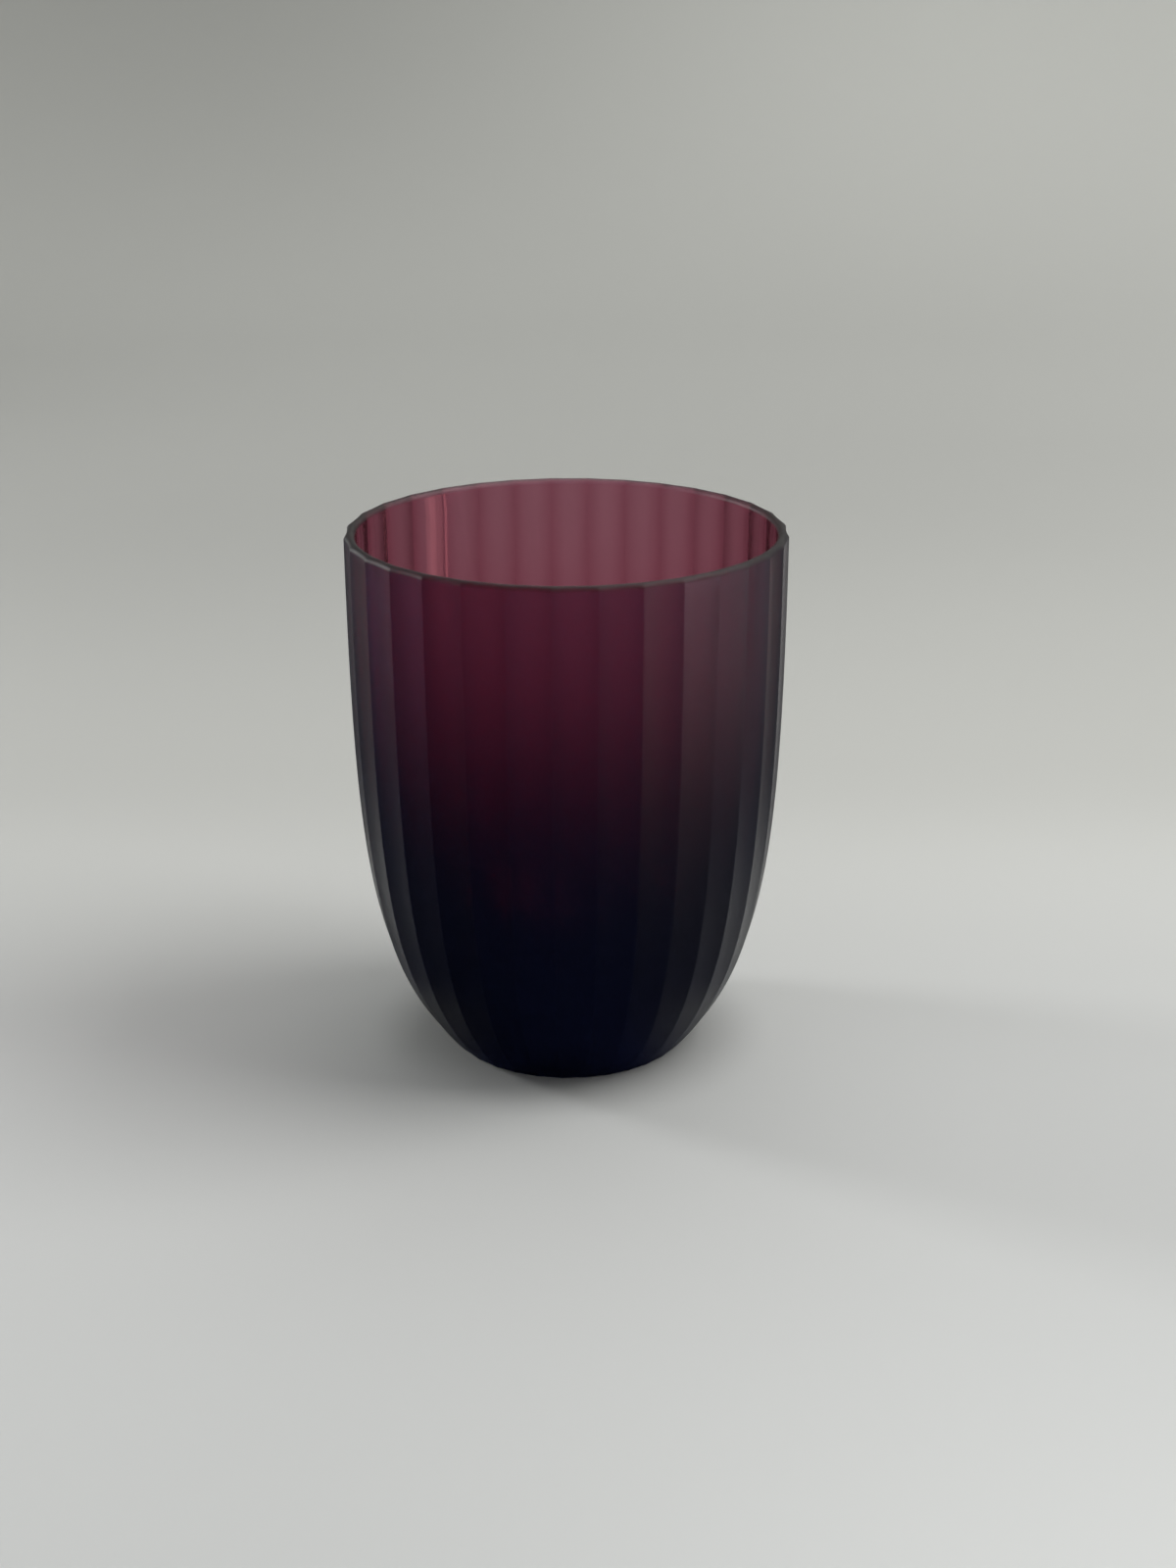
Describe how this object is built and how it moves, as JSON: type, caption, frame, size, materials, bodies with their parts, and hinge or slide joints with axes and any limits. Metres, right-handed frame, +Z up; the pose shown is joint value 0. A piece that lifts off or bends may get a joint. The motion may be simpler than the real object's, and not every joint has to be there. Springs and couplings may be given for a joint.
{
  "type": "cut glass tumbler",
  "caption": "Footless drinking glass of dark amethyst glass, rounded in to a flat base, cut outside with upright hollow flutes from rim to base and polished inside.",
  "frame": {"origin": "middle of the flat ground base", "axes": "+Z up the axis of the glass towards the rim, -Y towards the viewer of the picture"},
  "size_m": [0.0796, 0.0796, 0.0993],
  "materials": {
    "amethyst_glass": "solid dark amethyst glass, satin ground outside and base, rounded rim, polished inside"
  },
  "bodies": {
    "root": {"tumbler": "amethyst_glass"}
  },
  "joints": []
}
